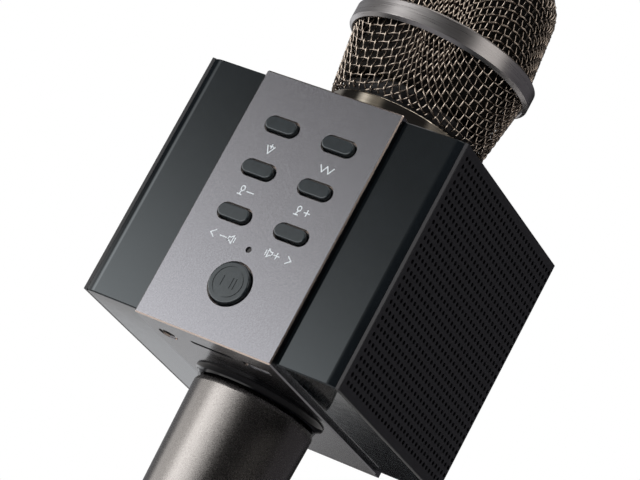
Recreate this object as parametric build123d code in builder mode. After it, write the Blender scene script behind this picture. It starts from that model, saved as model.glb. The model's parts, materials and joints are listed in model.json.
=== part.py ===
from build123d import *

import os

# Karaoke microphone: a square speaker housing between a tapered handle and a woven grille head.
# Frame: Z runs along the microphone from the handle's end (Z = 0) to the head, the buttons face -Y,
# and X points to the right of someone who faces the buttons. All sizes are in millimetres.

os.makedirs("parts", exist_ok=True)

# ---------------------------------------------------------------- driving dimensions

# Speaker housing
box_width = 80.0
box_depth = 73.4
box_height = 70.0
box_base = 142.0
shell_wall = 1.8
edge_roll = 2.5
edge_drop = 0.7

# Metal band over the front, the top and the underside
band_width = 42.3
band_proud = 2.1
band_top_proud = 0.7
band_base_proud = 1.2
band_front_wall = 2.4
band_top_wall = 1.6
band_base_wall = 2.0
band_chamfer = 0.35

# Perforated side plates
plate_thickness = 1.15
plate_depth = 72.0
hole_diameter = 1.3
hole_columns = 32
hole_rows = 29
column_pitch = 2.2
row_pitch = 2.28
holes_centre_y = 0.5
holes_centre_z = 35.05

# Inner frame
frame_wall = 2.0
boss_radius = 2.6

# Buttons: heights are above the housing's base
pill_length = 9.2
pill_height = 3.7
pill_x = 8.8
pill_rows = (57.3, 44.5, 31.6)
power_radius = 5.6
power_height = 14.2
lamp_height = 24.1
button_gap = 0.3
button_proud = 1.1
button_edge = 0.3
flange_thickness = 0.8
flange_overlap = 0.4
stem_radius = 1.3
stem_preload = 0.25
rim_chamfer = 0.35

# Sockets in the underside
jack_x, jack_y = -15.4, -28.6
jack_bore = 1.8
card_x, card_y = -0.65, -30.35
usb_x, usb_y = 13.1, -30.0

# Head
collar_radius = 21.15
collar_top = 221.8
stub_radius = 15.0
grille_base_radius = 20.9
grille_waist_radius = 25.0
head_band_base = 241.6
head_band_top = 247.1
head_band_radius = 26.5
upper_base_radius = 24.75
upper_shoulder_radius = 22.9
upper_shoulder = 265.5
head_top = 279.0
grille_wall = 1.0

# Handle
handle_top = 138.5
handle_top_radius = 17.25
handle_base = 10.0
handle_base_radius = 13.6
handle_wall = 1.6
flare_radius = 18.5
handle_stub_radius = 12.0

# Speakers, one each side, on a common X axis
baffle_x = 31.0
baffle_wall = 2.0
cone_radius = 20.6
magnet_radius = 14.0

# ---------------------------------------------------------------- derived levels

box_top = box_base + box_height
box_mid = box_base + box_height / 2
band_half = band_width / 2
band_front = -(box_depth / 2 + band_proud)
band_low = box_base - band_base_proud
band_high = box_top + band_top_proud
frame_front = band_front + band_front_wall
frame_back = -frame_front
frame_low = band_low + band_base_wall
frame_high = band_high - band_top_wall
frame_half = band_half - 0.05
inner_front = frame_front + frame_wall
inner_back = frame_back - frame_wall
inner_low = frame_low + frame_wall
inner_high = frame_high - frame_wall
inner_mid_z = (inner_low + inner_high) / 2
shell_inside = band_half + 0.05
plate_inside = box_width / 2 - plate_thickness
shell_outside = plate_inside - 0.05
button_front = band_front - button_proud
button_back = frame_front + 0.1
board_front = -33.0
board_back = board_front + 1.6
switch_front = board_front - 1.2
speaker_axis = Axis((0, 0, box_mid), (1, 0, 0))
speaker_plane = Plane.XY.offset(box_mid)
handle_slope = (handle_top_radius - handle_base_radius) / (handle_top - handle_base)

pills = {
    "button_echo": (-pill_x, pill_rows[0]),
    "button_mode": (pill_x, pill_rows[0]),
    "button_mic_down": (-pill_x, pill_rows[1]),
    "button_mic_up": (pill_x, pill_rows[1]),
    "button_volume_down": (-pill_x, pill_rows[2]),
    "button_volume_up": (pill_x, pill_rows[2]),
}
pill_places = [(x, box_base + z) for x, z in pills.values()]
power_z = box_base + power_height
key_places = pill_places + [(0, power_z)]

# Screw places: the shells' screws run along X, the rear panel's and the boards' along Y
shell_screw_yz = [(-21.5, 147.2), (-31.5, 206.7), (31.5, 147.2), (31.5, 206.7)]
rear_screw_xz = [(x, z) for x in (-17.0, 17.0) for z in (154.0, 200.0)]
key_screw_xz = [(x, z) for x in (-17.3, 17.3) for z in (163.0, 200.8)]
main_screw_xz = [(x, z) for x in (-15.5, 15.5) for z in (161.5, 192.5)]
main_board_front = 27.0
main_board_back = main_board_front + 1.6
speaker_screw_circle = 27.4
stub_screw_circle = 16.8
handle_screw_circle = 15.2


# ---------------------------------------------------------------- helpers

def write(piece, name):
    """Label a finished piece and write it to its own file."""
    piece.part.label = name
    export_step(piece.part, f"parts/{name}.step")


def block(low, high, mode=Mode.ADD):
    """Box between two corners, combined with the part in progress."""
    with Locations(low):
        Box(*(b - a for a, b in zip(low, high)), align=(Align.MIN,) * 3, mode=mode)


def rod(start, direction, radius, length, mode=Mode.ADD):
    """Cylinder from a start point along a direction, combined with the part in progress."""
    with Locations(Plane(origin=start, z_dir=direction)):
        Cylinder(radius, length, align=(Align.CENTER, Align.CENTER, Align.MIN), mode=mode)


def ring(base, outer, inner, height):
    """Upright ring on the Z axis, combined with the part in progress."""
    rod((0, 0, base), (0, 0, 1), outer, height)
    rod((0, 0, base - 1), (0, 0, 1), inner, height + 2, Mode.SUBTRACT)


def lathe(points, axis, plane):
    """Turned solid from a half-section given as straight-sided points."""
    with BuildPart() as turned:
        with BuildSketch(plane):
            with BuildLine():
                Polyline(*points, close=True)
            make_face()
        revolve(axis=axis)
    return turned


def upright(points):
    """Turned solid about Z from (radius, height) points."""
    return lathe(points, Axis.Z, Plane.XZ)


def along_x(points):
    """Turned solid about the speakers' axis from (x, radius) points."""
    return lathe(points, speaker_axis, speaker_plane)


def mirrored(piece):
    """Left-hand copy of a right-hand piece."""
    with BuildPart() as copy:
        mirror(piece.part, about=Plane.YZ)
    return copy


def around(circle, count, start_angle):
    """Places evenly spaced on a circle about the origin."""
    spots = PolarLocations(circle, count, start_angle)
    return [(spot.position.X, spot.position.Y) for spot in spots.local_locations]


# ---------------------------------------------------------------- band

# One bent plate over the front, the top and the underside of the inner frame.
with BuildPart() as front_band:
    with BuildSketch(Plane.YZ.offset(-band_half)):
        with Locations((band_front, band_low)):
            Rectangle(
                frame_back - 0.05 - band_front,
                band_high - band_low,
                align=(Align.MIN, Align.MIN),
            )
        with Locations((frame_front, frame_low)):
            Rectangle(
                2 * frame_back,
                frame_high - frame_low,
                align=(Align.MIN, Align.MIN),
                mode=Mode.SUBTRACT,
            )
    extrude(amount=band_width)
    outer_faces = (
        front_band.faces().sort_by(Axis.Y)[:1]
        + front_band.faces().sort_by(Axis.Z)[:1]
        + front_band.faces().sort_by(Axis.Z)[-1:]
    )
    long_edges = [
        edge
        for edge in outer_faces.edges()
        if edge.center().Y < frame_back - 0.1 and edge.length > 30
    ]
    chamfer(list(dict.fromkeys(long_edges)), band_chamfer)
    # Slots for the buttons, with a countersunk rim
    with BuildSketch(Plane.XZ.offset(-band_front)):
        with Locations(*pill_places):
            SlotOverall(pill_length + 2 * button_gap, pill_height + 2 * button_gap)
        with Locations((0, power_z)):
            Circle(power_radius + button_gap)
    extrude(amount=-10, mode=Mode.SUBTRACT)
    chamfer(front_band.faces().sort_by(Axis.Y)[0].inner_wires().edges(), rim_chamfer)
    # Lamp hole
    rod((0, band_front - 1, box_base + lamp_height), (0, 1, 0), 0.85, 10, Mode.SUBTRACT)
    # Socket openings in the underside
    with BuildSketch(Plane.XY.offset(band_low)):
        with Locations((jack_x, jack_y)):
            Circle(2.75)
        with Locations((card_x, card_y)):
            SlotOverall(13.3, 1.7)
        with Locations((usb_x, usb_y)):
            RectangleRounded(8.3, 3.3, 0.8)
    extrude(amount=band_base_wall, mode=Mode.SUBTRACT)
    # Passages for the handle's stub, the head's stub and their screws
    rod((0, 0, band_low - 1), (0, 0, 1), 12.3, 5, Mode.SUBTRACT)
    rod((0, 0, frame_high - 1), (0, 0, 1), 15.3, 5, Mode.SUBTRACT)
    for x, y in around(handle_screw_circle, 4, 45):
        rod((x, y, band_low - 1), (0, 0, 1), 1.0, 5, Mode.SUBTRACT)
    for x, y in around(stub_screw_circle, 4, 45):
        rod((x, y, frame_high - 1), (0, 0, 1), 1.0, 5, Mode.SUBTRACT)
write(front_band, "front_band")

# Flat plate that closes the back, held by four countersunk screws
with BuildPart() as rear_panel:
    block((-band_half, frame_back, band_low), (band_half, -band_front, band_high))
    back_face = rear_panel.faces().sort_by(Axis.Y)[-1]
    chamfer(back_face.edges(), band_chamfer)
    for x, z in rear_screw_xz:
        rod((x, frame_back - 1, z), (0, 1, 0), 1.2, 5, Mode.SUBTRACT)
        with Locations(Plane(origin=(x, -band_front, z), z_dir=(0, -1, 0))):
            Cone(2.3, 1.0, 1.3, align=(Align.CENTER, Align.CENTER, Align.MIN), mode=Mode.SUBTRACT)
write(rear_panel, "rear_panel")

with BuildPart() as rear_screws:
    for x, z in rear_screw_xz:
        rod((x, 30.5, z), (0, 1, 0), 0.9, 7.1)
        with Locations(Plane(origin=(x, -band_front - 0.1, z), z_dir=(0, -1, 0))):
            Cone(2.1, 0.9, 1.2, align=(Align.CENTER, Align.CENTER, Align.MIN))
        block((x - 1.3, -band_front - 0.7, z - 0.25), (x + 1.3, -band_front, z + 0.25), Mode.SUBTRACT)
        block((x - 0.25, -band_front - 0.7, z - 1.3), (x + 0.25, -band_front, z + 1.3), Mode.SUBTRACT)
write(rear_screws, "rear_screws")

# ---------------------------------------------------------------- inner frame

window_half = 15.6
window_low, window_high = 148.4, 203.6

with BuildPart() as inner_frame:
    with BuildSketch(Plane.YZ.offset(-frame_half)):
        with Locations((frame_front + 0.05, frame_low + 0.05)):
            Rectangle(
                frame_back - frame_front - 0.1,
                frame_high - frame_low - 0.1,
                align=(Align.MIN, Align.MIN),
            )
        with Locations((0, inner_mid_z)):
            Rectangle(inner_back - inner_front, inner_high - inner_low, mode=Mode.SUBTRACT)
    extrude(amount=2 * frame_half)
    # Window behind the buttons
    block(
        (-window_half, frame_front - 1, window_low),
        (window_half, inner_front + 1, window_high),
        Mode.SUBTRACT,
    )
    # Bosses for the shells, the key board, the main board and the rear panel
    for side in (-1, 1):
        for y, z in shell_screw_yz:
            rod((side * (frame_half - 8), y, z), (side, 0, 0), boss_radius, 8)
    for x, z in key_screw_xz:
        rod((x, board_front - 0.05, z), (0, -1, 0), 1.6, board_front - inner_front)
    for x, z in main_screw_xz:
        rod((x, main_board_back + 0.05, z), (0, 1, 0), boss_radius, inner_back - main_board_back)
    for x, z in rear_screw_xz:
        rod((x, 30.2, z), (0, 1, 0), boss_radius, inner_back - 30)
    # Screw holes
    for side in (-1, 1):
        for y, z in shell_screw_yz:
            rod((side * frame_half, y, z), (-side, 0, 0), 1.15, 8.5, Mode.SUBTRACT)
    for x, z in key_screw_xz:
        rod((x, board_front, z), (0, -1, 0), 0.85, 3, Mode.SUBTRACT)
    for x, z in main_screw_xz:
        rod((x, main_board_back, z), (0, 1, 0), 0.95, 5.2, Mode.SUBTRACT)
    for x, z in rear_screw_xz:
        rod((x, 30.0, z), (0, 1, 0), 0.95, 10, Mode.SUBTRACT)
    # Socket openings
    rod((jack_x, jack_y, frame_low - 1), (0, 0, 1), 2.9, 4, Mode.SUBTRACT)
    block((card_x - 7.3, inner_front, frame_low - 1), (card_x + 7.3, -29.1, inner_low + 1), Mode.SUBTRACT)
    block((usb_x - 4.1, inner_front, frame_low - 1), (usb_x + 4.1, -28.4, inner_low + 1), Mode.SUBTRACT)
    # Passages for the two stubs and their screws
    rod((0, 0, frame_low - 1), (0, 0, 1), 12.3, 4, Mode.SUBTRACT)
    rod((0, 0, inner_high - 1), (0, 0, 1), 15.3, 4, Mode.SUBTRACT)
    for x, y in around(handle_screw_circle, 4, 45):
        rod((x, y, frame_low - 1), (0, 0, 1), 1.0, 4, Mode.SUBTRACT)
    for x, y in around(stub_screw_circle, 4, 45):
        rod((x, y, inner_high - 1), (0, 0, 1), 1.0, 4, Mode.SUBTRACT)
write(inner_frame, "inner_frame")

# ---------------------------------------------------------------- side shells and grille plates

shell_half = box_depth / 2
roll_radius = (edge_roll**2 + edge_drop**2) / (2 * edge_drop)

with BuildPart() as right_shell:
    with BuildSketch(Plane.XY.offset(box_base)):
        with BuildLine():
            front = Line((shell_inside, -shell_half), (shell_outside - edge_roll, -shell_half))
            roll_front = RadiusArc(
                front @ 1, (shell_outside, -shell_half + edge_drop), -roll_radius
            )
            outer = Line(roll_front @ 1, (shell_outside, shell_half - edge_drop))
            roll_back = RadiusArc(
                outer @ 1, (shell_outside - edge_roll, shell_half), -roll_radius
            )
            back = Line(roll_back @ 1, (shell_inside, shell_half))
            Line(back @ 1, front @ 0)
        make_face()
    extrude(amount=box_height)
    outline_ends = right_shell.faces().filter_by(Axis.Z).edges().filter_by(Axis.X)
    chamfer(outline_ends, 0.3)
    # The two hollows, one each side of the speaker's baffle
    hollow_y = shell_half - shell_wall
    hollow_z = (box_base + shell_wall, box_top - shell_wall)
    block(
        (shell_inside - 1, -hollow_y, hollow_z[0]),
        (baffle_x, hollow_y, hollow_z[1]),
        Mode.SUBTRACT,
    )
    block(
        (baffle_x + baffle_wall, -hollow_y, hollow_z[0]),
        (shell_outside + 1, hollow_y, hollow_z[1]),
        Mode.SUBTRACT,
    )
    rod((baffle_x - 1, 0, box_mid), (1, 0, 0), 24.2, 4, Mode.SUBTRACT)
    # Bosses for the screws that hold the shell and the speaker, and posts behind the plate
    for y, z in shell_screw_yz:
        rod((shell_inside, y, z), (1, 0, 0), boss_radius, baffle_x - shell_inside + 1)
    for y, z in around(speaker_screw_circle, 4, 45):
        rod((baffle_x - 3, y, box_mid + z), (1, 0, 0), 2.2, 3.5)
    for y in (-33.4, 33.4):
        for z in (box_mid - 20, box_mid + 20):
            rod((baffle_x + 1, y, z), (1, 0, 0), 1.6, 5.9)
    for y, z in shell_screw_yz:
        rod((shell_inside - 1, y, z), (1, 0, 0), 1.3, 20, Mode.SUBTRACT)
    for y, z in around(speaker_screw_circle, 4, 45):
        rod((baffle_x - 4, y, box_mid + z), (1, 0, 0), 0.95, 8, Mode.SUBTRACT)
write(right_shell, "right_shell")
left_shell = mirrored(right_shell)
write(left_shell, "left_shell")

with BuildPart() as right_grille:
    with BuildSketch(Plane.YZ.offset(plate_inside)):
        with Locations((0, box_mid)):
            Rectangle(plate_depth, box_height)
    extrude(amount=plate_thickness)
    rim = right_grille.faces().sort_by(Axis.X)[-1].edges()
    fillet(rim, 0.3)
    with BuildSketch(Plane.YZ.offset(plate_inside)):
        with Locations((holes_centre_y, box_base + holes_centre_z)):
            with GridLocations(column_pitch, row_pitch, hole_columns, hole_rows):
                Circle(hole_diameter / 2)
    extrude(amount=plate_thickness, mode=Mode.SUBTRACT)
write(right_grille, "right_grille")
left_grille = mirrored(right_grille)
write(left_grille, "left_grille")

with BuildPart() as right_dust_cloth:
    block(
        (plate_inside - 0.8, -hollow_y + 0.1, hollow_z[0] + 0.1),
        (plate_inside - 0.2, hollow_y - 0.1, hollow_z[1] - 0.1),
    )
write(right_dust_cloth, "right_dust_cloth")
left_dust_cloth = mirrored(right_dust_cloth)
write(left_dust_cloth, "left_dust_cloth")

with BuildPart() as shell_screws:
    for side in (-1, 1):
        for y, z in shell_screw_yz:
            seat = side * (baffle_x + baffle_wall)
            rod((side * 14.0, y, z), (side, 0, 0), 1.1, abs(seat) - 14.0)
            rod((seat, y, z), (side, 0, 0), 2.1, 1.3)
            block((seat + side * 1.0 - 0.4, y - 1.3, z - 0.25),
                  (seat + side * 1.0 + 0.4, y + 1.3, z + 0.25), Mode.SUBTRACT)
write(shell_screws, "shell_screws")

# ---------------------------------------------------------------- buttons, lamp and key board

def button(outline, flange_outline, place):
    """Button cap with a retaining flange behind the band and a stem over its switch."""
    x, z = place
    with BuildPart() as cap:
        with BuildSketch(Plane.XZ.offset(-button_front)):
            with Locations((x, z)):
                outline()
        extrude(amount=-(button_back - button_front + flange_overlap))
        fillet(cap.faces().sort_by(Axis.Y)[0].edges(), button_edge)
        with BuildSketch(Plane.XZ.offset(-button_back)):
            with Locations((x, z)):
                flange_outline()
        extrude(amount=-flange_thickness)
        stem_start = button_back + flange_overlap
        rod((x, stem_start, z), (0, 1, 0), stem_radius, switch_front + stem_preload - stem_start)
    return cap


def pill_outline():
    SlotOverall(pill_length, pill_height)


def pill_flange():
    SlotOverall(pill_length + 1.8, pill_height + 1.8)


def power_outline():
    Circle(power_radius)


def power_flange():
    Circle(power_radius + 1.0)


for name, (x, height) in pills.items():
    write(button(pill_outline, pill_flange, (x, box_base + height)), name)

power_cap = button(power_outline, power_flange, (0, power_z))
with BuildPart() as button_power:
    add(power_cap.part)
    # Shallow ring, and a play-and-pause sign inside it
    with BuildSketch(Plane.XZ.offset(-button_front)):
        with Locations((0, power_z)):
            Circle(4.35)
            Circle(4.0, mode=Mode.SUBTRACT)
        with BuildLine():
            Polyline((-1.9, power_z - 1.5), (-1.9, power_z + 1.5), (0.4, power_z), close=True)
        make_face()
        with Locations((1.1, power_z), (2.1, power_z)):
            Rectangle(0.5, 3.0)
    extrude(amount=-0.15, mode=Mode.SUBTRACT)
write(button_power, "button_power")

with BuildPart() as status_light_pipe:
    lamp_z = box_base + lamp_height
    rod((0, band_front + 0.5, lamp_z), (0, 1, 0), 0.75, 4.2)
    rod((0, button_back, lamp_z), (0, 1, 0), 1.5, 0.8)
write(status_light_pipe, "status_light_pipe")

with BuildPart() as status_led:
    block((-0.8, board_front - 0.8, lamp_z - 0.8), (0.8, board_front - 0.02, lamp_z + 0.8))
write(status_led, "status_led")

with BuildPart() as key_board:
    block((-18.9, board_front, inner_low + 0.9), (18.9, board_back, 203.4))
    for x, z in key_screw_xz:
        rod((x, board_front - 1, z), (0, 1, 0), 1.0, 4, Mode.SUBTRACT)
write(key_board, "key_board")

with BuildPart() as key_switches:
    for x, z in key_places:
        block((x - 2.25, switch_front, z - 2.25), (x + 2.25, board_front - 0.02, z + 2.25))
        rod((x, switch_front - 1, z), (0, 1, 0), 1.6, 2.0, Mode.SUBTRACT)
write(key_switches, "key_switches")

with BuildPart() as board_screws:
    for x, z in key_screw_xz:
        rod((x, board_back + 0.02, z), (0, 1, 0), 1.6, 1.1)
        rod((x, board_back + 0.02, z), (0, -1, 0), 0.8, 4.2)
    for x, z in main_screw_xz:
        rod((x, main_board_front - 0.02, z), (0, -1, 0), 1.8, 1.2)
        rod((x, main_board_front - 0.02, z), (0, 1, 0), 0.9, 6.0)
write(board_screws, "board_screws")

# ---------------------------------------------------------------- sockets

with BuildPart() as audio_jack:
    block((jack_x - 2.7, board_back + 0.02, inner_low + 0.2), (jack_x + 2.7, board_back + 5.42, 157.5))
    rod((jack_x, jack_y, inner_low - 1), (0, 0, 1), jack_bore, 12.0, Mode.SUBTRACT)
write(audio_jack, "audio_jack")

with BuildPart() as jack_ring:
    rod((jack_x, jack_y, band_low + 0.3), (0, 0, 1), 2.6, inner_low - band_low - 0.15)
    chamfer(jack_ring.faces().sort_by(Axis.Z)[0].edges(), 0.2)
    rod((jack_x, jack_y, band_low), (0, 0, 1), jack_bore, 6, Mode.SUBTRACT)
write(jack_ring, "jack_ring")

with BuildPart() as card_socket:
    mouth = band_low + 1.0
    block((card_x - 6.9, board_back + 0.02, mouth + 1.1), (card_x + 6.9, board_back + 2.0, 158.0))
    block((card_x - 6.4, board_back + 0.4, mouth), (card_x + 6.4, board_back + 1.7, mouth + 2))
    block((card_x - 5.8, board_back + 0.6, mouth - 1), (card_x + 5.8, board_back + 1.5, 156.0), Mode.SUBTRACT)
write(card_socket, "card_socket")

with BuildPart() as usb_socket:
    with BuildSketch(Plane.XY.offset(band_low + 0.4)):
        with Locations((usb_x, usb_y)):
            RectangleRounded(7.7, 2.7, 0.7)
    extrude(amount=7.0)
    with BuildSketch(Plane.XY.offset(band_low + 0.4)):
        with Locations((usb_x, usb_y)):
            RectangleRounded(7.0, 2.0, 0.4)
    extrude(amount=6.0, mode=Mode.SUBTRACT)
    block((usb_x - 2.9, usb_y - 0.1, band_low + 1.4), (usb_x + 2.9, usb_y + 0.6, band_low + 7.0))
write(usb_socket, "usb_socket")

# ---------------------------------------------------------------- main board

with BuildPart() as main_board:
    block((-18.0, main_board_front, 151.5), (18.0, main_board_back, 202.5))
    for x, z in main_screw_xz:
        rod((x, main_board_front - 1, z), (0, 1, 0), 1.1, 4, Mode.SUBTRACT)
write(main_board, "main_board")

chip_front = main_board_front - 0.02
with BuildPart() as amplifier_chip:
    block((-5.0, chip_front - 1.5, 172.0), (5.0, chip_front, 182.0))
write(amplifier_chip, "amplifier_chip")

with BuildPart() as heat_sink:
    block((-6.0, chip_front - 3.1, 171.0), (6.0, chip_front - 1.55, 183.0))
    for x in (-5.4, -2.7, 0.0, 2.7, 5.4):
        block((x - 0.5, chip_front - 7.5, 171.0), (x + 0.5, chip_front - 3.0, 183.0))
write(heat_sink, "heat_sink")

with BuildPart() as capacitors:
    for x, z in ((-11.0, 186.0), (11.0, 186.0), (-11.0, 168.0), (11.0, 168.0)):
        rod((x, chip_front, z), (0, -1, 0), 2.5, 7.5)
    fillet(capacitors.faces().sort_by(Axis.Y)[:4].edges(), 0.4)
write(capacitors, "capacitors")

with BuildPart() as board_connectors:
    for x in (-11.0, -3.7, 3.7, 11.0):
        block((x - 2.7, chip_front - 4.0, 153.0), (x + 2.7, chip_front, 157.0))
        block((x - 2.0, chip_front - 5.0, 153.8), (x + 2.0, chip_front - 1.5, 156.2), Mode.SUBTRACT)
write(board_connectors, "board_connectors")

# ---------------------------------------------------------------- speakers

frame_seat = baffle_x + baffle_wall + 0.05
magnet_face = 21.1

right_speaker_basket = along_x([
    (frame_seat, 29.3), (frame_seat + 0.8, 29.3), (frame_seat + 0.8, 23.2), (magnet_face + 0.9, 13.2),
    (magnet_face + 0.9, 8.1), (magnet_face + 0.05, 8.1), (magnet_face + 0.05, 14.0), (frame_seat, 24.0),
])
with BuildPart() as basket:
    add(right_speaker_basket.part)
    for y, z in around(speaker_screw_circle, 4, 45):
        rod((frame_seat - 1, y, box_mid + z), (1, 0, 0), 1.1, 4, Mode.SUBTRACT)
    # Air openings in the basket's flank
    for y, z in around(18.0, 6, 0):
        rod((magnet_face + 1.5, y, box_mid + z), (1, 0, 0), 3.0, 9, Mode.SUBTRACT)
write(basket, "right_speaker_basket")
write(mirrored(basket), "left_speaker_basket")

magnet = along_x([
    (magnet_face, 7.9), (magnet_face, magnet_radius), (magnet_face - 8.5, magnet_radius),
    (magnet_face - 8.5, 0), (magnet_face, 0), (magnet_face, 6.5), (magnet_face - 5.6, 6.5),
    (magnet_face - 5.6, 7.9),
])
write(magnet, "right_speaker_magnet")
write(mirrored(magnet), "left_speaker_magnet")

# Moving cone with its voice coil former and dust cap
cone = along_x([
    (magnet_face - 4.3, 6.9), (25.8, 6.9), (27.4, 3.6), (27.9, 0), (28.5, 0), (28.0, 3.8), (26.9, 7.0),
    (33.1, cone_radius - 0.5), (33.5, cone_radius), (32.9, cone_radius), (25.8, 7.45),
    (magnet_face - 4.3, 7.45),
])
write(cone, "right_speaker_cone")
write(mirrored(cone), "left_speaker_cone")

surround_seat = frame_seat + 0.85
with BuildPart() as surround:
    with BuildSketch(speaker_plane):
        with BuildLine():
            roll_in = ThreePointArc((surround_seat, 21.0), (surround_seat + 2.2, 23.2), (surround_seat, 25.4))
            step = Line(roll_in @ 1, (surround_seat, 24.8))
            roll_out = ThreePointArc(step @ 1, (surround_seat + 1.6, 23.2), (surround_seat, 21.6))
            Line(roll_out @ 1, roll_in @ 0)
        make_face()
    revolve(axis=speaker_axis)
write(surround, "right_speaker_surround")
write(mirrored(surround), "left_speaker_surround")

with BuildPart() as speaker_screws:
    for side in (-1, 1):
        for y, z in around(speaker_screw_circle, 4, 45):
            head = side * (frame_seat + 0.85)
            rod((head, y, box_mid + z), (side, 0, 0), 1.7, 1.2)
            rod((head, y, box_mid + z), (-side, 0, 0), 0.9, 5.0)
write(speaker_screws, "speaker_screws")

# ---------------------------------------------------------------- head: fixed side

head_stub = upright([
    (11.5, inner_high - 2.05), (18.6, inner_high - 2.05), (18.6, inner_high - 0.05),
    (stub_radius, inner_high - 0.05), (stub_radius, 226.6), (14.6, 227.0), (11.5, 227.0),
])
with BuildPart() as drilled_head_stub:
    add(head_stub.part)
    for x, y in around(stub_screw_circle, 4, 45):
        rod((x, y, inner_high - 3), (0, 0, 1), 1.0, 4, Mode.SUBTRACT)
write(drilled_head_stub, "head_stub")

with BuildPart() as head_collar:
    rod((0, 0, band_high + 0.03), (0, 0, 1), collar_radius, collar_top - band_high - 0.03)
    fillet(head_collar.faces().sort_by(Axis.Z)[-1].edges(), 0.5)
    rod((0, 0, collar_top - 2.4), (0, 0, 1), 20.5, 4, Mode.SUBTRACT)
    rod((0, 0, band_high - 1), (0, 0, 1), stub_radius + 0.2, 12, Mode.SUBTRACT)
    for x, y in around(stub_screw_circle, 4, 45):
        rod((x, y, band_high - 1), (0, 0, 1), 0.92, 6, Mode.SUBTRACT)
write(head_collar, "head_collar")

with BuildPart() as stub_screws:
    for x, y in around(stub_screw_circle, 4, 45):
        rod((x, y, inner_high - 2.1), (0, 0, -1), 1.5, 1.2)
        rod((x, y, inner_high - 2.1), (0, 0, 1), 0.88, 10.0)
    for x, y in around(handle_screw_circle, 4, 45):
        rod((x, y, inner_low + 2.1), (0, 0, 1), 1.5, 1.2)
        rod((x, y, inner_low + 2.1), (0, 0, -1), 0.88, 7.2)
write(stub_screws, "stub_screws")

capsule_cradle = upright([
    (9.0, 227.05), (14.8, 227.05), (14.8, 229.0), (13.6, 231.0), (13.6, 240.0), (12.3, 240.0),
    (12.3, 232.5), (9.0, 232.5),
])
write(capsule_cradle, "capsule_cradle")

with BuildPart() as capsule:
    rod((0, 0, 232.6), (0, 0, 1), 12.2, 10.0)
    fillet(capsule.faces().sort_by(Axis.Z)[-1].edges(), 1.0)
    with BuildSketch(Plane.XY.offset(242.6)):
        with PolarLocations(6.0, 8):
            Circle(1.2)
        Circle(1.2)
    extrude(amount=-1.2, mode=Mode.SUBTRACT)
write(capsule, "capsule")

# ---------------------------------------------------------------- head: part that unscrews

thread_ring = upright([
    (stub_radius + 0.06, collar_top - 2.3), (20.3, collar_top - 2.3), (20.3, collar_top - 0.3),
    (19.7, collar_top + 0.2), (19.7, 226.0), (stub_radius + 0.06, 226.0),
])
write(thread_ring, "thread_ring")


def lower_outline(inset):
    """Half-section of the lower grille: a bowl that swells from the collar to the band."""
    base, brim = collar_top + 0.2, head_band_base + 0.7
    with BuildSketch(Plane.XZ) as section:
        with BuildLine():
            foot = Line((0, base), (grille_base_radius - inset, base))
            heel = TangentArc(foot @ 1, (22.3 - inset, 224.6), tangent=(1, 0.35))
            flank = Line(heel @ 1, (grille_waist_radius - inset, brim))
            lid = Line(flank @ 1, (0, brim))
            Line(lid @ 1, foot @ 0)
        make_face()
    return section.sketch


def upper_outline(inset):
    """Half-section of the upper grille: a short cone under a rounded dome."""
    base = head_band_base + 3.4
    slope = (upper_base_radius - upper_shoulder_radius) / (upper_shoulder - head_band_top)
    reach = 7.5
    with BuildSketch(Plane.XZ) as section:
        with BuildLine():
            flank = Line((upper_base_radius - inset, base), (upper_shoulder_radius - inset, upper_shoulder))
            dome = Bezier(
                flank @ 1,
                (upper_shoulder_radius - inset - slope * reach, upper_shoulder + reach),
                (13.5, head_top - inset),
                (0, head_top - inset),
            )
            middle = Line(dome @ 1, (0, base))
            Line(middle @ 1, flank @ 0)
        make_face()
    return section.sketch


def turned(section):
    """Solid of revolution about Z from a closed half-section."""
    with BuildPart() as solid:
        add(section)
        revolve(axis=Axis.Z)
    return solid.part


with BuildPart() as lower_grille:
    add(turned(lower_outline(0)))
    add(turned(lower_outline(grille_wall)), mode=Mode.SUBTRACT)
write(lower_grille, "lower_grille")

with BuildPart() as upper_grille:
    add(turned(upper_outline(0)))
    add(turned(upper_outline(grille_wall)), mode=Mode.SUBTRACT)
write(upper_grille, "upper_grille")

head_band = upright([
    (25.1, head_band_base), (25.5, head_band_base - 0.2), (head_band_radius, head_band_base + 0.6),
    (head_band_radius, head_band_top - 0.5), (head_band_radius - 0.5, head_band_top),
    (24.95, head_band_top), (24.95, head_band_base + 3.3), (23.3, head_band_base + 3.3),
    (23.3, head_band_base + 0.85), (25.1, head_band_base + 0.85),
])
write(head_band, "head_band")

# Foam windscreen: a hollow cup just inside the upper grille
foam_gap = grille_wall + 0.3
foam_wall = 3.0
with BuildPart() as windscreen_foam:
    add(turned(upper_outline(foam_gap)))
    add(turned(upper_outline(foam_gap + foam_wall)), mode=Mode.SUBTRACT)
    ring(228.2, 21.2, 18.2, head_band_top - 228.2)
write(windscreen_foam, "windscreen_foam")

# ---------------------------------------------------------------- handle

handle_stub = upright([
    (9.8, 122.0), (handle_stub_radius, 122.0), (handle_stub_radius, inner_low + 0.05),
    (18.4, inner_low + 0.05), (18.4, inner_low + 2.05), (9.8, inner_low + 2.05),
])
with BuildPart() as drilled_handle_stub:
    add(handle_stub.part)
    for x, y in around(handle_screw_circle, 4, 45):
        rod((x, y, inner_low - 1), (0, 0, 1), 1.0, 5, Mode.SUBTRACT)
write(drilled_handle_stub, "handle_stub")

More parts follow.
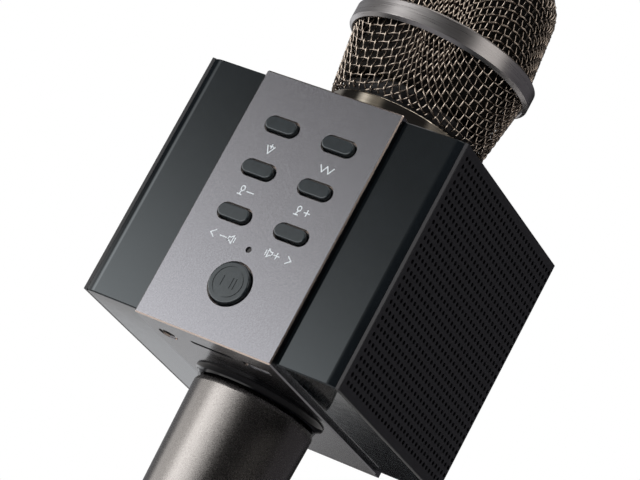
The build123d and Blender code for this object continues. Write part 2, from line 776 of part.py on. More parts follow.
with BuildPart() as handle_collar:
    with BuildSketch(Plane.XZ):
        with BuildLine():
            under = Line((12.2, handle_top + 0.05), (17.0, handle_top + 0.05))
            flare = ThreePointArc(under @ 1, (17.45, handle_top + 1.3), (flare_radius, band_low - 0.35))
            lip = Line(flare @ 1, (flare_radius, band_low - 0.03))
            over = Line(lip @ 1, (12.2, band_low - 0.03))
            Line(over @ 1, under @ 0)
        make_face()
    revolve(axis=Axis.Z)
    for x, y in around(handle_screw_circle, 4, 45):
        rod((x, y, handle_top), (0, 0, 1), 0.92, 4, Mode.SUBTRACT)
write(handle_collar, "handle_collar")

with BuildPart() as handle_tube:
    with BuildSketch(Plane.XZ):
        with BuildLine():
            Polyline(
                (0, handle_base), (handle_base_radius, handle_base),
                (handle_top_radius, handle_top), (0, handle_top), close=True,
            )
        make_face()
    revolve(axis=Axis.Z)
    shoulder = handle_tube.faces().sort_by(Axis.Z)[-1].edges()
    fillet(shoulder, 2.0)
    with BuildSketch(Plane.XZ):
        with BuildLine():
            roof = handle_top - 3.0
            Polyline(
                (0, handle_base - 1), (handle_base_radius - handle_wall - handle_slope, handle_base - 1),
                (handle_top_radius - handle_wall - 3.0 * handle_slope, roof), (0, roof), close=True,
            )
        make_face()
    revolve(axis=Axis.Z, mode=Mode.SUBTRACT)
    rod((0, 0, handle_top - 4), (0, 0, 1), handle_stub_radius + 0.2, 6, Mode.SUBTRACT)
write(handle_tube, "handle_tube")

with BuildPart() as handle_insert:
    ring(122.0, 14.9, handle_stub_radius + 0.05, handle_top - 3.1 - 122.0)
write(handle_insert, "handle_insert")

with BuildPart() as end_cap:
    with BuildSketch(Plane.XZ):
        with BuildLine():
            Polyline(
                (0, 0), (handle_base_radius - 0.35, 0), (handle_base_radius - 0.05, handle_base - 0.15),
                (11.6, handle_base - 0.15), (11.6, 17.5), (10.0, 17.5), (10.0, 3.0), (0, 3.0), close=True,
            )
        make_face()
    revolve(axis=Axis.Z)
    fillet(end_cap.faces().sort_by(Axis.Z)[0].edges(), 1.4)
write(end_cap, "end_cap")

# ---------------------------------------------------------------- battery

cell_base = 40.5
cell_length = 65.0

with BuildPart() as battery_holder:
    ring(cell_base - 2.5, 10.8, 9.4, cell_length + 5.0)
    ring(cell_base - 2.5, 12.6, 9.4, 4.0)
    ring(cell_base + cell_length - 1.5, 14.2, 9.4, 4.0)
write(battery_holder, "battery_holder")

with BuildPart() as battery_cell:
    rod((0, 0, cell_base), (0, 0, 1), 9.2, cell_length - 1.0)
    fillet(battery_cell.edges().filter_by(GeomType.CIRCLE), 0.6)
    rod((0, 0, cell_base + cell_length - 1.5), (0, 0, 1), 2.8, 1.5)
write(battery_cell, "battery_cell")

with BuildPart() as battery_tabs:
    block((-3.5, -3.5, cell_base - 0.35), (3.5, 3.5, cell_base - 0.05))
    block((-3.5, -3.5, cell_base + cell_length + 0.05), (3.5, 3.5, cell_base + cell_length + 0.35))
write(battery_tabs, "battery_tabs")
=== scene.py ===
import json
import math

import bpy
import numpy as np
from mathutils import Matrix, Vector, noise


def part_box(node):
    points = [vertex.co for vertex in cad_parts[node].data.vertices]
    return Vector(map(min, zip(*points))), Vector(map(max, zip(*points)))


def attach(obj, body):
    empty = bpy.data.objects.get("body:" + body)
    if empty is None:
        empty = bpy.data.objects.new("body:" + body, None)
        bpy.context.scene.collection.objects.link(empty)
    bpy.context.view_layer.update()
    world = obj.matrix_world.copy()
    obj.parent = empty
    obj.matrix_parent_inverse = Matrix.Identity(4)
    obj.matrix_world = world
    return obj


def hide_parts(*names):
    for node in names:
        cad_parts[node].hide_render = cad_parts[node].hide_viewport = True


# Karaoke microphone: materials for the CAD parts, the woven wire of the head, the foam behind it,
# the speaker cloths, the printed signs, and a plain studio. Lengths are in metres.

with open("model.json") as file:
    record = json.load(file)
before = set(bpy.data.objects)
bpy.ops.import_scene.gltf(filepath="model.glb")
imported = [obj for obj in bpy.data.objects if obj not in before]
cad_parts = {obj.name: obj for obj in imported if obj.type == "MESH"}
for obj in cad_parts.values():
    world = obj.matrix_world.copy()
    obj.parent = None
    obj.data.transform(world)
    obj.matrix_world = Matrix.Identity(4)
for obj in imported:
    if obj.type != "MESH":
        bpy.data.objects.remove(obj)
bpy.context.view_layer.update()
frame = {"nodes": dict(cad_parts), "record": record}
nodes = frame["nodes"]
mm = 0.001


# ---------------------------------------------------------------- node helpers

class Shader:
    """A material under construction, with a Principled shader and shared object coordinates."""

    def __init__(self, name):
        self.material = bpy.data.materials.new(name)
        self.material.use_nodes = True
        self.tree = self.material.node_tree
        self.surface = self.tree.nodes["Principled BSDF"]
        self.place = self.add("ShaderNodeTexCoord").outputs["Object"]

    def add(self, kind, **settings):
        node = self.tree.nodes.new(kind)
        for key, value in settings.items():
            setattr(node, key, value)
        return node

    def link(self, output, target):
        self.tree.links.new(output, target)

    def set(self, **values):
        """Plain numbers straight on the shader's sockets; underscores stand for spaces."""
        for key, value in values.items():
            self.surface.inputs[key.replace("_", " ")].default_value = value

    def noise(self, scale, detail=4.0, rough=0.55, place=None):
        node = self.add("ShaderNodeTexNoise")
        node.inputs["Scale"].default_value = scale
        node.inputs["Detail"].default_value = detail
        node.inputs["Roughness"].default_value = rough
        self.link(place or self.place, node.inputs["Vector"])
        return node.outputs["Fac"]

    def stretched(self, x, y, z):
        """Object coordinates scaled by axis, for brushed or turned grain."""
        node = self.add("ShaderNodeVectorMath", operation="MULTIPLY")
        self.link(self.place, node.inputs[0])
        node.inputs[1].default_value = (x, y, z)
        return node.outputs["Vector"]

    def ramp(self, value, low, high, start=0.3, end=0.7):
        """Colour from low to high as value goes from start to end."""
        node = self.add("ShaderNodeValToRGB")
        node.color_ramp.elements[0].position = start
        node.color_ramp.elements[0].color = (*low, 1)
        node.color_ramp.elements[1].position = end
        node.color_ramp.elements[1].color = (*high, 1)
        self.link(value, node.inputs["Fac"])
        return node.outputs["Color"]

    def span(self, value, low, high, start=0.3, end=0.7):
        """Number from low to high as value goes from start to end."""
        node = self.add("ShaderNodeMapRange")
        for key, number in (("From Min", start), ("From Max", end), ("To Min", low), ("To Max", high)):
            node.inputs[key].default_value = number
        self.link(value, node.inputs["Value"])
        return node.outputs["Result"]

    def math(self, operation, first, second):
        node = self.add("ShaderNodeMath", operation=operation)
        self.link(first, node.inputs[0])
        self.link(second, node.inputs[1])
        return node.outputs["Value"]

    def colour(self, value, low, high, start=0.3, end=0.7):
        self.link(self.ramp(value, low, high, start, end), self.surface.inputs["Base Color"])

    def roughness(self, value, low, high):
        self.link(self.span(value, low, high), self.surface.inputs["Roughness"])

    def bump(self, value, depth, strength=1.0):
        """Relief of that depth in metres, on top of any relief already there."""
        node = self.add("ShaderNodeBump")
        node.inputs["Distance"].default_value = depth
        node.inputs["Strength"].default_value = strength
        self.link(value, node.inputs["Height"])
        socket = self.surface.inputs["Normal"]
        if socket.is_linked:
            self.link(socket.links[0].from_socket, node.inputs["Normal"])
        self.link(node.outputs["Normal"], socket)

    def repaint(self, share, colour, rough):
        """Gives the colour and the roughness these values where share is one."""
        mixes = (("RGBA", "Base Color", (*colour, 1)), ("FLOAT", "Roughness", rough))
        for kind, name, value in mixes:
            node = self.add("ShaderNodeMix", data_type=kind)
            sockets = {socket.name: socket for socket in node.inputs if socket.enabled}
            self.link(share, sockets["Factor"])
            self.link(self.surface.inputs[name].links[0].from_socket, sockets["A"])
            sockets["B"].default_value = value
            result = next(socket for socket in node.outputs if socket.enabled)
            self.link(result, self.surface.inputs[name])


def shades(colour, share):
    """A darker and a lighter neighbour of a colour."""
    return tuple(c * (1 - share) for c in colour), tuple(min(1, c * (1 + share)) for c in colour)


def grained(name, colour, rough, grain, depth, spread=0.06, mottle=120.0, **sockets):
    """Material with a soft mottle in its colour, and one fine grain in its gloss and its relief."""
    s = Shader(name)
    s.colour(s.noise(mottle), *shades(colour, spread))
    fine = s.noise(grain, detail=2.0)
    s.roughness(fine, *rough)
    s.bump(fine, depth)
    s.set(**sockets)
    return s.material


# ---------------------------------------------------------------- materials of the CAD parts

def cut_edges(s, colour, rough):
    """The chamfers beside the front are cut bright after the finish was put on.
    They face forward, and their normals lie between the axes."""
    normal = s.add("ShaderNodeVectorMath", operation="ABSOLUTE")
    s.link(s.add("ShaderNodeNewGeometry").outputs["True Normal"], normal.inputs[0])
    parts = s.add("ShaderNodeSeparateXYZ")
    s.link(normal.outputs["Vector"], parts.inputs[0])
    steepest = s.math("MAXIMUM", parts.outputs["X"], parts.outputs["Y"])
    steepest = s.math("MAXIMUM", steepest, parts.outputs["Z"])
    slanting = s.span(steepest, 1.0, 0.0, 0.88, 0.95)
    forward = s.span(parts.outputs["Y"], 0.0, 1.0, 0.45, 0.55)
    s.repaint(s.math("MULTIPLY", slanting, forward), colour, rough)


def band_metal():
    """Sand-blasted, anodised aluminium: a fine sparkle over a faint larger mottle."""
    s = Shader("band_metal")
    blast = s.noise(5200, detail=3.0)
    s.colour(s.noise(2600, detail=5.0), (0.150, 0.151, 0.164), (0.182, 0.183, 0.198), 0.35, 0.65)
    s.roughness(blast, 0.17, 0.26)
    s.bump(blast, 0.006 * mm, 0.5)
    s.set(Metallic=1.0)
    cut_edges(s, (0.88, 0.74, 0.66), 0.16)
    return s.material


def handle_metal():
    """Satin lacquer over fine metal flake."""
    s = Shader("handle_metal")
    flake = s.noise(4200, detail=2.0)
    s.colour(flake, (0.13, 0.122, 0.118), (0.21, 0.200, 0.192), 0.38, 0.62)
    s.roughness(flake, 0.21, 0.31)
    s.bump(flake, 0.012 * mm, 0.6)
    s.set(Metallic=1.0)
    return s.material


def shell_gloss():
    """Dark slate lacquer, nearly a mirror, with a very faint orange peel."""
    s = Shader("shell_gloss")
    s.colour(s.noise(60), (0.0050, 0.0065, 0.0080), (0.0065, 0.0085, 0.0105))
    s.roughness(s.noise(400), 0.05, 0.08)
    s.bump(s.noise(330, detail=1.0), 0.0015 * mm, 0.4)
    s.set(IOR=1.54, Specular_Tint=(0.86, 0.95, 1.0, 1.0))
    return s.material


def button_gloss():
    """Glossy dark slate caps."""
    s = Shader("button_gloss")
    s.colour(s.noise(300), (0.014, 0.018, 0.021), (0.020, 0.025, 0.029))
    s.roughness(s.noise(900), 0.10, 0.16)
    s.set(Specular_Tint=(0.90, 0.97, 1.0, 1.0))
    s.bump(s.noise(700, detail=1.0), 0.003 * mm, 0.4)
    return s.material


def collar_metal():
    """Champagne plating, turned: hairlines run round the axis."""
    s = Shader("collar_metal")
    turned = s.noise(1.0, place=s.stretched(60, 60, 5200))
    s.colour(turned, (0.52, 0.47, 0.39), (0.66, 0.60, 0.51))
    s.roughness(turned, 0.06, 0.11)
    s.bump(turned, 0.001 * mm, 0.4)
    s.set(Metallic=1.0)
    return s.material


def head_band_metal():
    """Satin gunmetal ring, turned."""
    s = Shader("head_band_metal")
    turned = s.noise(1.0, place=s.stretched(90, 90, 4200))
    s.colour(turned, (0.36, 0.345, 0.345), (0.44, 0.425, 0.425))
    s.roughness(turned, 0.26, 0.34)
    s.bump(turned, 0.001 * mm, 0.4)
    s.set(Metallic=1.0)
    return s.material


def circuit_board():
    """Green solder mask with lighter traces under it."""
    s = Shader("board")
    cells = s.add("ShaderNodeTexVoronoi", feature="DISTANCE_TO_EDGE", distance="CHEBYCHEV")
    cells.inputs["Scale"].default_value = 340
    s.link(s.place, cells.inputs["Vector"])
    s.colour(cells.outputs["Distance"], (0.02, 0.16, 0.06), (0.012, 0.075, 0.03), 0.02, 0.08)
    s.roughness(s.noise(900), 0.25, 0.38)
    return s.material


# Slot: colour, roughness, grain per metre, relief in mm, and what else its shader needs
grained_slots = {
    "grille_plate": ((0.008, 0.008, 0.0105), (0.36, 0.48), 2600, 0.010, {"IOR": 1.40}),
    "collar_gloss": ((0.004, 0.004, 0.005), (0.06, 0.09), 500, 0.001, {"IOR": 1.20}),
    "lamp_lens": ((0.006, 0.006, 0.007), (0.10, 0.16), 900, 0.002, {"IOR": 1.49}),
    "frame_plastic": ((0.018, 0.018, 0.019), (0.45, 0.60), 1800, 0.020, {}),
    "steel": ((0.50, 0.50, 0.51), (0.28, 0.42), 2400, 0.004, {"Metallic": 1.0}),
    "screw_black": ((0.012, 0.012, 0.013), (0.34, 0.46), 2600, 0.004, {"Metallic": 0.6}),
    "socket_black": ((0.016, 0.016, 0.016), (0.40, 0.55), 1800, 0.010, {}),
    "socket_steel": ((0.62, 0.60, 0.58), (0.14, 0.24), 2400, 0.003, {"Metallic": 1.0}),
    "chip_black": ((0.022, 0.022, 0.023), (0.45, 0.60), 2200, 0.010, {}),
    "heat_sink": ((0.55, 0.56, 0.58), (0.30, 0.42), 1600, 0.008, {"Metallic": 1.0}),
    "capacitor": ((0.05, 0.05, 0.08), (0.22, 0.32), 700, 0.004, {}),
    "connector_white": ((0.70, 0.67, 0.60), (0.38, 0.50), 1500, 0.008, {}),
    "magnet": ((0.050, 0.050, 0.054), (0.45, 0.60), 1800, 0.020, {"Metallic": 0.4}),
    "cone_paper": ((0.030, 0.029, 0.028), (0.75, 0.92), 1200, 0.050, {}),
    "surround_rubber": ((0.017, 0.017, 0.017), (0.50, 0.65), 900, 0.020, {}),
    "capsule_metal": ((0.42, 0.42, 0.43), (0.26, 0.38), 2000, 0.006, {"Metallic": 1.0}),
    "brass": ((0.62, 0.45, 0.20), (0.22, 0.34), 2000, 0.006, {"Metallic": 1.0}),
    "battery_wrap": ((0.03, 0.10, 0.26), (0.22, 0.34), 500, 0.006, {}),
    "nickel": ((0.58, 0.56, 0.52), (0.22, 0.34), 2000, 0.004, {"Metallic": 1.0}),
}

finishes = {
    "band_metal": band_metal(),
    "shell_gloss": shell_gloss(),
    "button_gloss": button_gloss(),
    "collar_metal": collar_metal(),
    "head_band_metal": head_band_metal(),
    "handle_metal": handle_metal(),
    "board": circuit_board(),
}
for slot, (colour, rough, grain, relief, sockets) in grained_slots.items():
    finishes[slot] = grained(slot, colour, rough, grain, relief * mm, **sockets)

slot_of = {part["node"]: part["material_slot"] for part in frame["record"]["subparts"]}
for name, node in nodes.items():
    if slot_of[name] in finishes:
        node.data.materials.clear()
        node.data.materials.append(finishes[slot_of[name]])


# ---------------------------------------------------------------- materials of the Blender pieces

def wire_metal():
    """Polished, bronze-tinted wire, a little uneven in tone and gloss."""
    s = Shader("grille_wire")
    s.colour(s.noise(700), (0.230, 0.192, 0.160), (0.350, 0.298, 0.252))
    s.roughness(s.noise(1500), 0.12, 0.20)
    s.set(Metallic=1.0)
    return s.material


def acoustic_foam():
    """Open-cell foam: the middles of its cells are painted darker than the struts between them, as painted
    shade in the pits.
    """
    s = Shader("foam")
    cells = s.add("ShaderNodeTexVoronoi", feature="DISTANCE_TO_EDGE")
    cells.inputs["Scale"].default_value = 1500
    s.link(s.place, cells.inputs["Vector"])
    # painted shade: the colour darkens from the cell edges towards the cell middles
    s.colour(cells.outputs["Distance"], (0.010, 0.009, 0.008), (0.0025, 0.0023, 0.0021), 0.05, 0.25)
    s.bump(cells.outputs["Distance"], 0.2 * mm)
    s.set(Roughness=0.95, Specular_IOR_Level=0.2)
    return s.material


def speaker_cloth():
    """Plain-woven black cloth, its colour painted darker between the threads as painted shade."""
    s = Shader("dust_cloth")
    threads = s.add("ShaderNodeTexWave", wave_type="BANDS", bands_direction="Y")
    picks = s.add("ShaderNodeTexWave", wave_type="BANDS", bands_direction="Z")
    for node in (threads, picks):
        node.inputs["Scale"].default_value = 320
        s.link(s.place, node.inputs["Vector"])
    weave_height = s.math("MULTIPLY", threads.outputs["Fac"], picks.outputs["Fac"])
    # painted shade: darker where the threads lie low, lighter on their crossings
    s.colour(weave_height, (0.002, 0.002, 0.002), (0.007, 0.007, 0.007), 0.0, 1.0)
    s.bump(weave_height, 0.1 * mm)
    s.set(Roughness=0.95, Specular_IOR_Level=0.2)
    return s.material


def sign_white():
    """White pad print, slightly uneven."""
    s = Shader("sign_white")
    s.colour(s.noise(2500), (0.62, 0.68, 0.72), (0.72, 0.78, 0.82))
    s.roughness(s.noise(2500), 0.50, 0.65)
    return s.material


# ---------------------------------------------------------------- mesh helpers

def mesh_piece(name, points, faces, material, smooth=True):
    """Object from points and four-sided faces."""
    mesh = bpy.data.meshes.new(name)
    points, faces = np.asarray(points, dtype=np.float32), np.asarray(faces, dtype=np.int32)
    mesh.vertices.add(len(points))
    mesh.vertices.foreach_set("co", points.ravel())
    mesh.loops.add(faces.size)
    mesh.loops.foreach_set("vertex_index", faces.ravel())
    mesh.polygons.add(len(faces))
    mesh.polygons.foreach_set("loop_start", np.arange(len(faces), dtype=np.int32) * 4)
    mesh.update(calc_edges=True)
    mesh.polygons.foreach_set("use_smooth", [smooth] * len(faces))
    mesh.materials.append(material)
    piece = bpy.data.objects.new(name, mesh)
    bpy.context.scene.collection.objects.link(piece)
    return piece


def apply_modifiers(piece):
    """The piece's mesh becomes what its modifiers show."""
    shown = piece.evaluated_get(bpy.context.evaluated_depsgraph_get())
    mesh = bpy.data.meshes.new_from_object(shown)
    piece.modifiers.clear()
    piece.data = mesh


# ---------------------------------------------------------------- woven wire of the head

wire_radius = 0.25 * mm
wire_pitch = 2.35 * mm
crimp = 0.27 * mm                 # how far a wire swings to each side of the cloth's middle
wire_sides = 6
steps_per_pitch = 6
fewest_steps = 4                  # shorter ends of wire are left out
weave_turn = math.radians(-112)
spread_share = 0.75               # how much of the shear near the diagonals is evened out
lower_reach, lower_widest = 24 * mm, 50 * mm
upper_reach, upper_widest = 28 * mm, 56 * mm


def outer_profile(node):
    """(radius, height) points of a turned node's outer outline, from low to high.
    The outline is convex, so it is the outer hull of the mesh's points."""
    places = [vertex.co for vertex in nodes[node].data.vertices]
    corners = sorted({(round(p.z, 6), round(math.hypot(p.x, p.y), 6)) for p in places})
    hull = []
    for z, r in corners:
        while len(hull) > 1:
            (z0, r0), (z1, r1) = hull[-2:]
            if (z1 - z0) * (r - r0) - (r1 - r0) * (z - z0) < 0:
                break
            hull.pop()
        hull.append((z, r))
    return np.array([(r, z) for z, r in hull])


class Cup:
    """A turned surface, read by distance along its outline."""

    def __init__(self, outline):
        steps = np.hypot(*np.diff(outline, axis=0).T)
        self.along = np.concatenate([[0], np.cumsum(steps)])
        self.outline = outline
        self.length = self.along[-1]

    def at(self, s):
        """Radius and height at distance s along the outline."""
        return np.array([np.interp(s, self.along, column) for column in self.outline.T])

    def frame(self, azimuth, s, inset):
        """Points and outward normals at azimuth and distance s, that far under the surface."""
        step = 0.2 * mm
        radius, height = self.at(s)
        ahead = self.at(np.clip(s + step, 0, self.length))
        behind = self.at(np.clip(s - step, 0, self.length))
        d_radius, d_height = ahead - behind
        size = np.hypot(d_radius, d_height)
        out_r, out_z = d_height / size, -d_radius / size
        if self.outline[0, 1] > self.outline[-1, 1]:
            out_r, out_z = -out_r, -out_z
        radius = radius - inset * out_r
        height = height - inset * out_z
        flat = np.stack([np.cos(azimuth), np.sin(azimuth)], 1)
        points = np.column_stack([flat * radius[:, None], height])
        normals = np.column_stack([flat * out_r[:, None], out_z])
        return points, normals


def drape(u, v, reach):
    """Azimuth, and distance along the outline, of crossing (u, v) of a square net on a deep-drawn cup.
    Up to the reach the net lies as it was woven. Beyond it the net runs up the wall. Wires that keep
    their length shear there, and towards the diagonals that shear is evened out by the spread share."""
    rho = np.hypot(u, v)
    au, av = np.minimum(np.abs(u), reach), np.minimum(np.abs(v), reach)
    theta, psi = np.arccos(au / reach), np.arcsin(av / reach)
    sheared = (theta + psi) / 2 + (np.sin(2 * psi) - np.sin(2 * theta)) / 4
    climb = np.abs(u) - au + np.abs(v) - av + reach * (np.sin(psi) ** 2 - np.sin(theta) ** 2) / 2
    even = np.arctan2(np.abs(v), np.abs(u))
    spread = spread_share * np.minimum(1.0, np.minimum(np.abs(u), np.abs(v)) / reach) ** 2
    on_wall = rho > reach
    azimuth = np.where(on_wall, sheared + (even - sheared) * spread, even)
    azimuth = np.where(u < 0, math.pi - azimuth, azimuth)
    azimuth = np.where(v < 0, -azimuth, azimuth)
    climb = np.maximum(climb + (rho - reach - climb) * spread, 0)
    return azimuth, np.where(on_wall, reach + climb, rho)


def tube(points, normals, radius, sides):
    """Points and four-sided faces of a closed round tube along a path. The number of sides is even."""
    along = np.gradient(points, axis=0)
    along /= np.linalg.norm(along, axis=1)[:, None]
    across = np.cross(along, normals)
    across /= np.linalg.norm(across, axis=1)[:, None]
    out = np.cross(across, along)
    angles = np.arange(sides) * 2 * math.pi / sides
    rings = points[:, None] + radius * (
        np.cos(angles)[None, :, None] * out[:, None] + np.sin(angles)[None, :, None] * across[:, None]
    )
    i, j = np.meshgrid(np.arange(len(points) - 1) * sides, np.arange(sides), indexing="ij")
    k = (j + 1) % sides
    wall = np.stack([i + j, i + k, i + sides + k, i + sides + j], axis=-1).reshape(-1, 4)
    fan = np.array([(0, n + 2, n + 1, n) for n in range(1, sides - 2, 2)])
    last = (len(points) - 1) * sides
    return rings.reshape(-1, 3), np.concatenate([wall, fan, last + fan[:, ::-1]])


def runs(inside):
    """Index ranges of consecutive true values."""
    edges = np.flatnonzero(np.diff(np.concatenate([[0], inside.astype(int), [0]])))
    return list(zip(edges[::2], edges[1::2]))


def stretches(fixed, reach, skip, widest):
    """The stretches of a line of the net, fixed away from its middle: two if the disc between is skipped."""
    start = math.sqrt(max(0.0, reach**2 - fixed**2)) if skip else 0.0
    positive = start + np.arange(0, widest - start, wire_pitch / steps_per_pitch)
    if start > 0:
        return [-positive[::-1], positive]
    return [np.concatenate([-positive[:0:-1], positive])]


def weave(name, cup, reach, skip, widest):
    """Woven wire over a cup. The net's own disc up to the reach is drawn unless skip is set."""
    points, faces, count = [], [], 0
    cup_start = reach if skip else 0
    lines = int(widest / wire_pitch)
    for warp in (True, False):
        for line in range(-lines, lines + 1):
            fixed = line * wire_pitch
            for free in stretches(fixed, reach, skip, widest):
                held = np.full(len(free), fixed)
                u, v = (held, free) if warp else (free, held)
                azimuth, s = drape(u, v, reach)
                for first, last in runs(s <= cup.length + cup_start):
                    if last - first < fewest_steps:
                        continue
                    part = slice(first, last)
                    over = math.cos(math.pi * line) * np.cos(math.pi * free[part] / wire_pitch)
                    inset = crimp + wire_radius - (crimp if warp else -crimp) * over
                    path, normals = cup.frame(azimuth[part] + weave_turn, s[part] - cup_start, inset)
                    ring_points, ring_faces = tube(path, normals, wire_radius, wire_sides)
                    points.append(ring_points)
                    faces.append(count + ring_faces)
                    count += len(ring_points)
    return mesh_piece(name, np.concatenate(points), np.concatenate(faces), grille_wire)


grille_wire = wire_metal()
lower_cup = Cup(outer_profile("lower_grille")[1:])
lower_weave = weave("lower_weave", lower_cup, lower_reach, True, lower_widest)
upper_cup = Cup(outer_profile("upper_grille")[::-1])
upper_weave = weave("upper_weave", upper_cup, upper_reach, False, upper_widest)
for piece, node in ((lower_weave, "lower_grille"), (upper_weave, "upper_grille")):
    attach(piece, "grille_head")
    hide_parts(node)


# ---------------------------------------------------------------- foam and speaker cloths

foam_voxel = 0.8 * mm
pit_depth = 0.35 * mm
pits_per_metre = 700
cloth_cells = 40
cloth_thickness = 0.3 * mm
cloth_sag = 0.08 * mm


def foam_liner():
    """The windscreen foam: its plain solid, remeshed fine and pitted inward."""
    mesh = nodes["windscreen_foam"].data.copy()
    mesh.materials.clear()
    mesh.materials.append(acoustic_foam())
    foam = bpy.data.objects.new("foam_liner", mesh)
    bpy.context.scene.collection.objects.link(foam)
    remesh = foam.modifiers.new("remesh", "REMESH")
    remesh.mode = "VOXEL"
    remesh.voxel_size = foam_voxel
    apply_modifiers(foam)
    vertices = foam.data.vertices
    points, normals = np.empty((2, 3 * len(vertices)), dtype=np.float32)
    vertices.foreach_get("co", points)
    vertices.foreach_get("normal", normals)
    heights = [noise.noise(Vector(point) * pits_per_metre) for point in points.reshape(-1, 3)]
    pits = np.clip([0.5 + 0.5 * height for height in heights], 0, 1)
    vertices.foreach_set("co", points - normals * np.repeat(pits, 3) * pit_depth)
    foam.data.polygons.foreach_set("use_smooth", [True] * len(foam.data.polygons))
    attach(foam, "grille_head")
    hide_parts("windscreen_foam")


def speaker_cloths():
    """A stretched cloth behind each perforated plate."""
    cloth_material = speaker_cloth()
    row = cloth_cells + 1
    for side in ("right", "left"):
        low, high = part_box(f"{side}_dust_cloth")
        middle_x = (low.x + high.x) / 2
        width, length = high.y - low.y, high.z - low.z
        points = []
        for i in range(row):
            for j in range(row):
                a, b = i / cloth_cells, j / cloth_cells
                sag = cloth_sag * noise.noise(Vector((a * 7, b * 7, 1.0)))
                points.append((middle_x + sag, low.y + a * width, low.z + b * length))
        first = [i * row + j for i in range(cloth_cells) for j in range(cloth_cells)]
        faces = [(k, k + row, k + row + 1, k + 1) for k in first]
        cloth = mesh_piece(f"{side}_speaker_cloth", points, faces, cloth_material)
        thicken = cloth.modifiers.new("thicken", "SOLIDIFY")
        thicken.thickness = cloth_thickness
        thicken.offset = 0
        apply_modifiers(cloth)
        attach(cloth, "housing")
        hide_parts(f"{side}_dust_cloth")


foam_liner()
speaker_cloths()


# ---------------------------------------------------------------- printed signs

ink_width = 0.27 * mm
ink_height = 0.03 * mm
tile_step = 0.001 * mm            # crossing tiles differ by this much in height
ink = sign_white()
band_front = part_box("front_band")[0].y


def centre_of(node):
    low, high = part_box(node)
    return (low.x + high.x) / 2, (low.z + high.z) / 2


def stroke(points, closed=False):
    """Corners of a ribbon of ink along a flat line, in millimetres, as quads."""
    line = [Vector(p) * mm for p in points]
    ring = line + [line[0]] if closed else line
    quads = []
    for a, b in zip(ring, ring[1:]):
        along = (b - a).normalized() * ink_width / 2
        side = Vector((-along.y, along.x))
        quads.append([a - along + side, a - along - side, b + along - side, b + along + side])
    return quads


def sign(name, place, strokes):
    """A flat sign printed on the band: each stroke's quads become thin closed tiles."""
    points, faces = [], []
    for number, quad in enumerate(quad for line in strokes for quad in line):
        front = band_front - ink_height - tile_step * (number % 5)
        base = len(points)
        for y in (front, band_front):
            points += [(place[0] + p.x, y, place[1] + p.y) for p in quad]
        faces += [tuple(base + i for i in (0, 1, 2, 3)), tuple(base + i for i in (7, 6, 5, 4))]
        faces += [tuple(base + i for i in (j, j + 4, (j + 1) % 4 + 4, (j + 1) % 4)) for j in range(4)]
    piece = mesh_piece(name, points, faces, ink, smooth=False)
    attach(piece, "housing")


def microphone_sign(x):
    """A small hand microphone: round head, slanted body and foot."""
    turns = np.linspace(0, 2 * math.pi, 11)[:-1]
    head = [(x + 0.55 * math.cos(a), 0.55 + 0.7 * math.sin(a)) for a in turns]
    body = [(x - 0.1, -0.2), (x - 0.35, -1.1)]
    foot = [(x - 0.9, -1.2), (x + 0.25, -1.2)]
    return [stroke(head, closed=True), stroke(body), stroke(foot)]


def speaker_sign(x, way):
    """A small loudspeaker: a box with a horn that opens to one side, and a sound wave before it."""
    horn = [(-0.5, -0.5), (-0.5, 0.5), (0.1, 0.5), (0.8, 1.1), (0.8, -1.1), (0.1, -0.5)]
    wave = [(1.4, -0.6), (1.4, 0.6)]
    return [
        stroke([(x + across * way, z) for across, z in horn], closed=True),
        stroke([(x + across * way, z) for across, z in wave]),
    ]


def plus_sign(x, z=0.0, half=0.8):
    return [stroke([(x - half, z), (x + half, z)]), stroke([(x, z - half), (x, z + half)])]


def minus_sign(x):
    return [stroke([(x - 1.0, 0.0), (x + 1.0, 0.0)])]


def arrow_sign(x, way):
    """An arrowhead that points to one side."""
    return [stroke([(x, 1.0), (x + 1.3 * way, 0.0), (x, -1.0)])]


def under(button, drop):
    x, z = centre_of(button)
    return x, z - drop * mm


sign("sign_echo", under("button_echo", 6.6),
     [stroke([(-1.1, 0.8), (-0.1, -1.3), (1.1, 0.8)])] + plus_sign(0.1, 0.8, 0.5))
sign("sign_mode", under("button_mode", 6.8),
     [stroke([(-2.0, 0.8), (-1.0, -0.9), (0.0, 0.9), (1.0, -0.9), (2.0, 0.8)])])
sign("sign_mic_down", under("button_mic_down", 6.4), microphone_sign(-1.4) + minus_sign(1.1))
sign("sign_mic_up", under("button_mic_up", 6.4), microphone_sign(-1.4) + plus_sign(1.1))
sign("sign_volume_down", under("button_volume_down", 6.5),
     arrow_sign(-2.4, -1) + minus_sign(0.3) + speaker_sign(2.4, 1))
sign("sign_volume_up", under("button_volume_up", 6.5),
     speaker_sign(-2.6, -1) + plus_sign(-0.7) + arrow_sign(2.4, 1))


# ---------------------------------------------------------------- studio

def direction(azimuth, elevation):
    a, e = math.radians(azimuth), math.radians(elevation)
    return Vector((math.cos(a) * math.cos(e), math.sin(a) * math.cos(e), math.sin(e)))


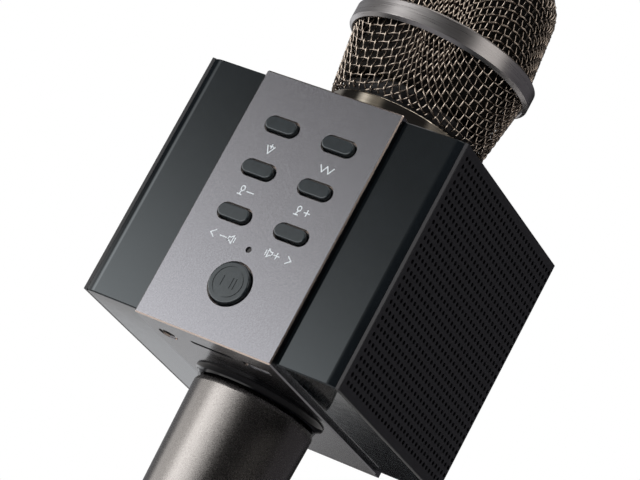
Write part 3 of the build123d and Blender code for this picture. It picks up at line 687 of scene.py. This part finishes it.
class Sky:
    """World light: a dim surround with soft rectangular lights in it, behind a plain backdrop."""

    def __init__(self, surround):
        world = bpy.data.worlds.new("studio")
        bpy.context.scene.world = world
        world.use_nodes = True
        self.tree = world.node_tree
        self.tree.nodes.clear()
        self.way = self.tree.nodes.new("ShaderNodeTexCoord").outputs["Generated"]
        self.total = self.colour(surround)

    def feed(self, values, sockets):
        """Links each output, and sets each plain value, to its socket."""
        for value, socket in zip(values, sockets):
            if isinstance(value, bpy.types.NodeSocket):
                self.tree.links.new(value, socket)
            else:
                socket.default_value = value

    def colour(self, value):
        node = self.tree.nodes.new("ShaderNodeCombineXYZ")
        self.feed(value, node.inputs)
        return node.outputs["Vector"]

    def math(self, operation, *values):
        node = self.tree.nodes.new("ShaderNodeMath")
        node.operation = operation
        self.feed(values, node.inputs)
        return node.outputs["Value"]

    def vector_math(self, operation, first, second, socket=1, result="Vector"):
        node = self.tree.nodes.new("ShaderNodeVectorMath")
        node.operation = operation
        self.feed((first, second), (node.inputs[0], node.inputs[socket]))
        return node.outputs[result]

    def along(self, axis):
        """How far the direction of the ray goes along an axis."""
        return self.vector_math("DOT_PRODUCT", self.way, axis, result="Value")

    def fade(self, value, inside, outside):
        """One up to inside, falling smoothly to nothing at outside."""
        node = self.tree.nodes.new("ShaderNodeMapRange")
        node.interpolation_type = "SMOOTHSTEP"
        names = ("Value", "From Min", "From Max", "To Min", "To Max")
        self.feed((value, inside, outside, 1.0, 0.0), [node.inputs[name] for name in names])
        return node.outputs["Result"]

    def soft_box(self, azimuth, elevation, size, edge, radiance, roll=0.0):
        """Adds a light centred that way. Its half width and half height, the widths of its soft edges
        and its roll are in degrees, seen from the object."""
        middle = direction(azimuth, elevation)
        side = Vector((0, 0, 1)).cross(middle).normalized()
        side = Matrix.Rotation(math.radians(roll), 3, middle) @ side
        rise = middle.cross(side)
        depth = self.along(middle)
        masks = []
        for axis, half, soft in zip((side, rise), size, edge):
            off_axis = self.math("ABSOLUTE", self.math("ARCTAN2", self.along(axis), depth))
            masks.append(self.fade(off_axis, math.radians(half), math.radians(half + soft)))
        mask = self.math("POWER", self.math("MULTIPLY", *masks), 2.0)
        light = self.vector_math("SCALE", self.colour(radiance), mask, socket="Scale")
        self.total = self.vector_math("ADD", self.total, light)

    def close(self, backdrop):
        """The camera sees the plain backdrop, everything else the lights."""
        lit = self.tree.nodes.new("ShaderNodeBackground")
        plain = self.tree.nodes.new("ShaderNodeBackground")
        self.feed([self.total], [lit.inputs["Color"]])
        self.feed([(*backdrop, 1)], [plain.inputs["Color"]])
        path = self.tree.nodes.new("ShaderNodeLightPath")
        mix = self.tree.nodes.new("ShaderNodeMixShader")
        self.feed((path.outputs["Is Camera Ray"], lit.outputs[0], plain.outputs[0]), mix.inputs)
        output = self.tree.nodes.new("ShaderNodeOutputWorld")
        self.feed([mix.outputs[0]], [output.inputs["Surface"]])


sky = Sky((0.018, 0.018, 0.019))
sky.soft_box(-114, -5, (22, 8), (24, 13), (5.4, 5.35, 5.3), roll=-17)  # low front-left
sky.soft_box(-163, -1, (18, 9), (14, 7), (2.3, 2.26, 2.22))            # beside it
sky.soft_box(-123, 16, (10, 3), (16, 10), (0.17, 0.16, 0.145))         # above it
sky.soft_box(-12, 34, (12, 12), (16, 7), (2.4, 2.3, 2.2))              # high front-right
sky.soft_box(150, 8, (16, 20), (20, 20), (0.24, 0.24, 0.25))           # left and behind
sky.soft_box(48, 16, (24, 14), (26, 18), (0.11, 0.105, 0.115))         # right and behind
sky.soft_box(141, -12, (19, 8), (4, 8), (0.84, 0.85, 0.87))            # left and behind, low
sky.soft_box(-90, 76, (20, 16), (26, 20), (2.2, 2.15, 2.1))            # overhead
sky.close((1.0, 1.0, 1.0))


def floor():
    """Plain pale floor that the microphone stands on."""
    s = Shader("floor")
    s.colour(s.noise(3), (0.80, 0.80, 0.80), (0.84, 0.84, 0.84))
    s.set(Roughness=0.6)
    half = 600 * mm
    corners = [(-half, -half, 0), (half, -half, 0), (half, half, 0), (-half, half, 0)]
    ground = mesh_piece("floor", corners, [(0, 1, 2, 3)], s.material)


def camera():
    """The photograph's view: from the front right, low down and looking up, rolled to the left."""
    place = Vector((383.72, -643.39, 3.63)) * mm
    target = Vector((0.59, -11.87, 182.51)) * mm
    roll = math.radians(-28.41)
    data = bpy.data.cameras.new("view")
    data.sensor_width = 36
    data.lens = 165.86
    data.clip_start, data.clip_end = 0.01, 20
    eye = bpy.data.objects.new("view", data)
    bpy.context.scene.collection.objects.link(eye)
    forward = (target - place).normalized()
    level = forward.to_track_quat("-Z", "Y").to_matrix().to_4x4()
    eye.matrix_world = Matrix.Translation(place) @ Matrix.Rotation(roll, 4, forward) @ level
    bpy.context.scene.camera = eye


floor()
camera()
bpy.context.scene.view_settings.view_transform = "Standard"
